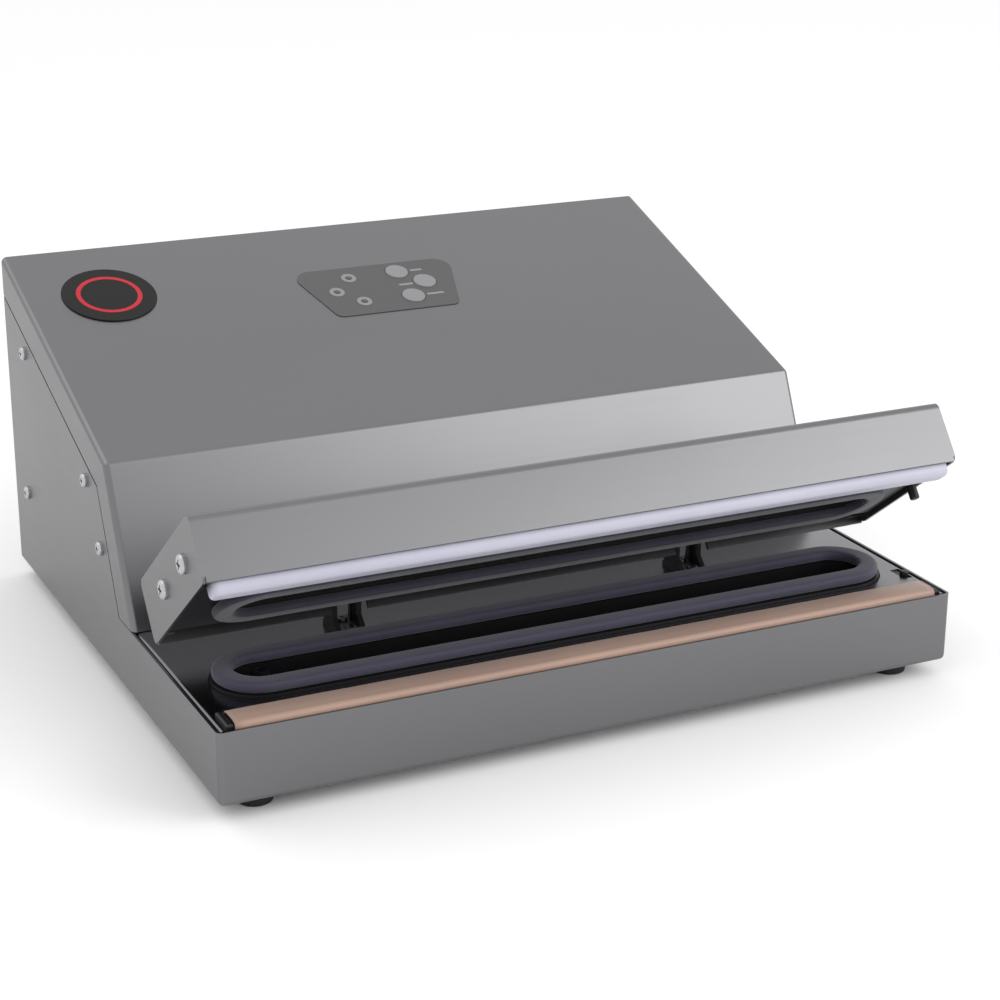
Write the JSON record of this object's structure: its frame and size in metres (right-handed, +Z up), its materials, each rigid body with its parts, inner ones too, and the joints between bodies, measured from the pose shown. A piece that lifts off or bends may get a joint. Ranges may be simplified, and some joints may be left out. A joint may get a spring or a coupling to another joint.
{
  "type": "vacuum sealer",
  "caption": "Table-top external vacuum sealer: stainless cabinet with sloping keypad top, deck with vacuum trough and seal bar, sprung lid on hinges.",
  "frame": {"origin": "on the surface the feet stand on, at the centre of the overall box", "axes": "+X to the user's right, +Y from front to back, +Z up; the lid is stored open"},
  "size_m": [0.3982, 0.3434, 0.183],
  "materials": {
    "brushed_stainless": "brushed stainless steel sheet",
    "deck_stainless": "bright stainless steel sheet",
    "screw_steel": "zinc-plated or stainless fasteners",
    "foot_rubber": "black rubber",
    "black_plastic": "black moulded plastic",
    "gasket_foam": "dark grey closed-cell gasket",
    "white_silicone": "white silicone",
    "sealing_tape": "beige PTFE-coated glass cloth",
    "phenolic": "brown phenolic laminate",
    "resistance_strip": "resistance alloy",
    "brass": "machined brass",
    "black_steel": "black coated steel",
    "rail_aluminium": "extruded and cast aluminium",
    "keypad_film": "printed polyester film",
    "key_plastic": "grey plastic keys",
    "badge_black": "black badge, mark left out",
    "circuit_board": "green circuit board",
    "core_steel": "painted steel",
    "coil_tape": "yellow coil tape",
    "lead_rubber": "silicone-sleeved lead",
    "rocker_plastic": "black rocker"
  },
  "bodies": {
    "cabinet": {"base_pan": "brushed_stainless", "deck_plate": "deck_stainless", "cover": "brushed_stainless", "rear_panel": "deck_stainless", "side_screws": "screw_steel", "feet": "foot_rubber", "foot_screws": "screw_steel", "vacuum_trough": "black_plastic", "lower_gasket": "gasket_foam", "suction_port": "black_plastic", "seal_bar_base": "phenolic", "heating_strip": "resistance_strip", "seal_tape": "sealing_tape", "bar_end_blocks": "black_plastic", "bar_supports": "phenolic", "terminal_posts": "brass", "hinge_brackets": "black_steel", "hinge_pins": "screw_steel", "hinge_springs": "screw_steel", "keypad_panel": "keypad_film", "badge": "badge_black", "indicator_lenses": "key_plastic", "keypad_board": "circuit_board", "standoffs": "screw_steel", "switch_guide": "black_plastic", "lid_switch": "black_plastic", "transformer_core": "core_steel", "transformer_coil": "coil_tape", "pump_motor": "core_steel", "pump_head": "rail_aluminium", "pump_bracket": "core_steel", "pump_mounts": "foot_rubber", "vent_valve": "core_steel", "vacuum_hoses": "foot_rubber", "control_board": "circuit_board", "board_parts": "black_plastic", "heater_leads": "lead_rubber", "inlet_socket": "black_plastic", "inlet_pins": "brass", "switch_frame": "black_plastic", "inner_screws": "screw_steel"},
    "lid": {"lid_shell": "brushed_stainless", "lid_end_plates": "brushed_stainless", "lid_screws": "screw_steel", "lid_tray": "black_plastic", "upper_gasket": "gasket_foam", "seal_pad": "white_silicone", "pad_holder": "rail_aluminium", "lid_peg": "black_plastic", "lid_hinge_leaves": "black_steel"},
    "switch_plunger": {"switch_plunger": "black_plastic"},
    "button_pump": {"button_pump": "key_plastic"},
    "button_seal": {"button_seal": "key_plastic"},
    "button_stop": {"button_stop": "key_plastic"},
    "fuse_drawer": {"fuse_drawer": "black_plastic"},
    "switch_rocker": {"switch_rocker": "rocker_plastic"},
    "motor_fan": {"motor_fan": "black_plastic"}
  },
  "joints": [
    {"name": "lid_hinge", "type": "hinge", "parent": "cabinet", "child": "lid", "pos_m": [0, -0.0816, 0.0745], "axis": [1, 0, 0], "range_deg": [0, 37.5], "stiffness_Nm_per_rad": 2.5, "springref_deg": -34.38, "deforming": ["hinge_springs"]},
    {"name": "switch_slide", "type": "slide", "parent": "cabinet", "child": "switch_plunger", "axis": [0, 0, -1], "range_m": [0, 0.0012]},
    {"name": "pump_press", "type": "slide", "parent": "cabinet", "child": "button_pump", "axis": [0, 0.3247, -0.9458], "range_m": [0, 0.0006], "stiffness_N_per_m": 400, "springref_m": -0.0004},
    {"name": "seal_press", "type": "slide", "parent": "cabinet", "child": "button_seal", "axis": [0, 0.3247, -0.9458], "range_m": [0, 0.0006], "stiffness_N_per_m": 400, "springref_m": -0.0004},
    {"name": "stop_press", "type": "slide", "parent": "cabinet", "child": "button_stop", "axis": [0, 0.3247, -0.9458], "range_m": [0, 0.0006], "stiffness_N_per_m": 400, "springref_m": -0.0004},
    {"name": "fuse_slide", "type": "slide", "parent": "cabinet", "child": "fuse_drawer", "axis": [0, 1, 0], "range_m": [0, 0.014]},
    {"name": "rocker_tilt", "type": "hinge", "parent": "cabinet", "child": "switch_rocker", "pos_m": [0.092, 0.1663, 0.044], "axis": [1, 0, 0], "range_deg": [0, 14]},
    {"name": "motor_spin", "type": "hinge", "parent": "cabinet", "child": "motor_fan", "pos_m": [-0.046, 0.0643, 0.05], "axis": [1, 0, 0], "continuous": true}
  ],
  "couplings": [
    {"joint": "switch_slide", "follows": "lid_hinge", "m_per_rad": 0.0018335}
  ]
}
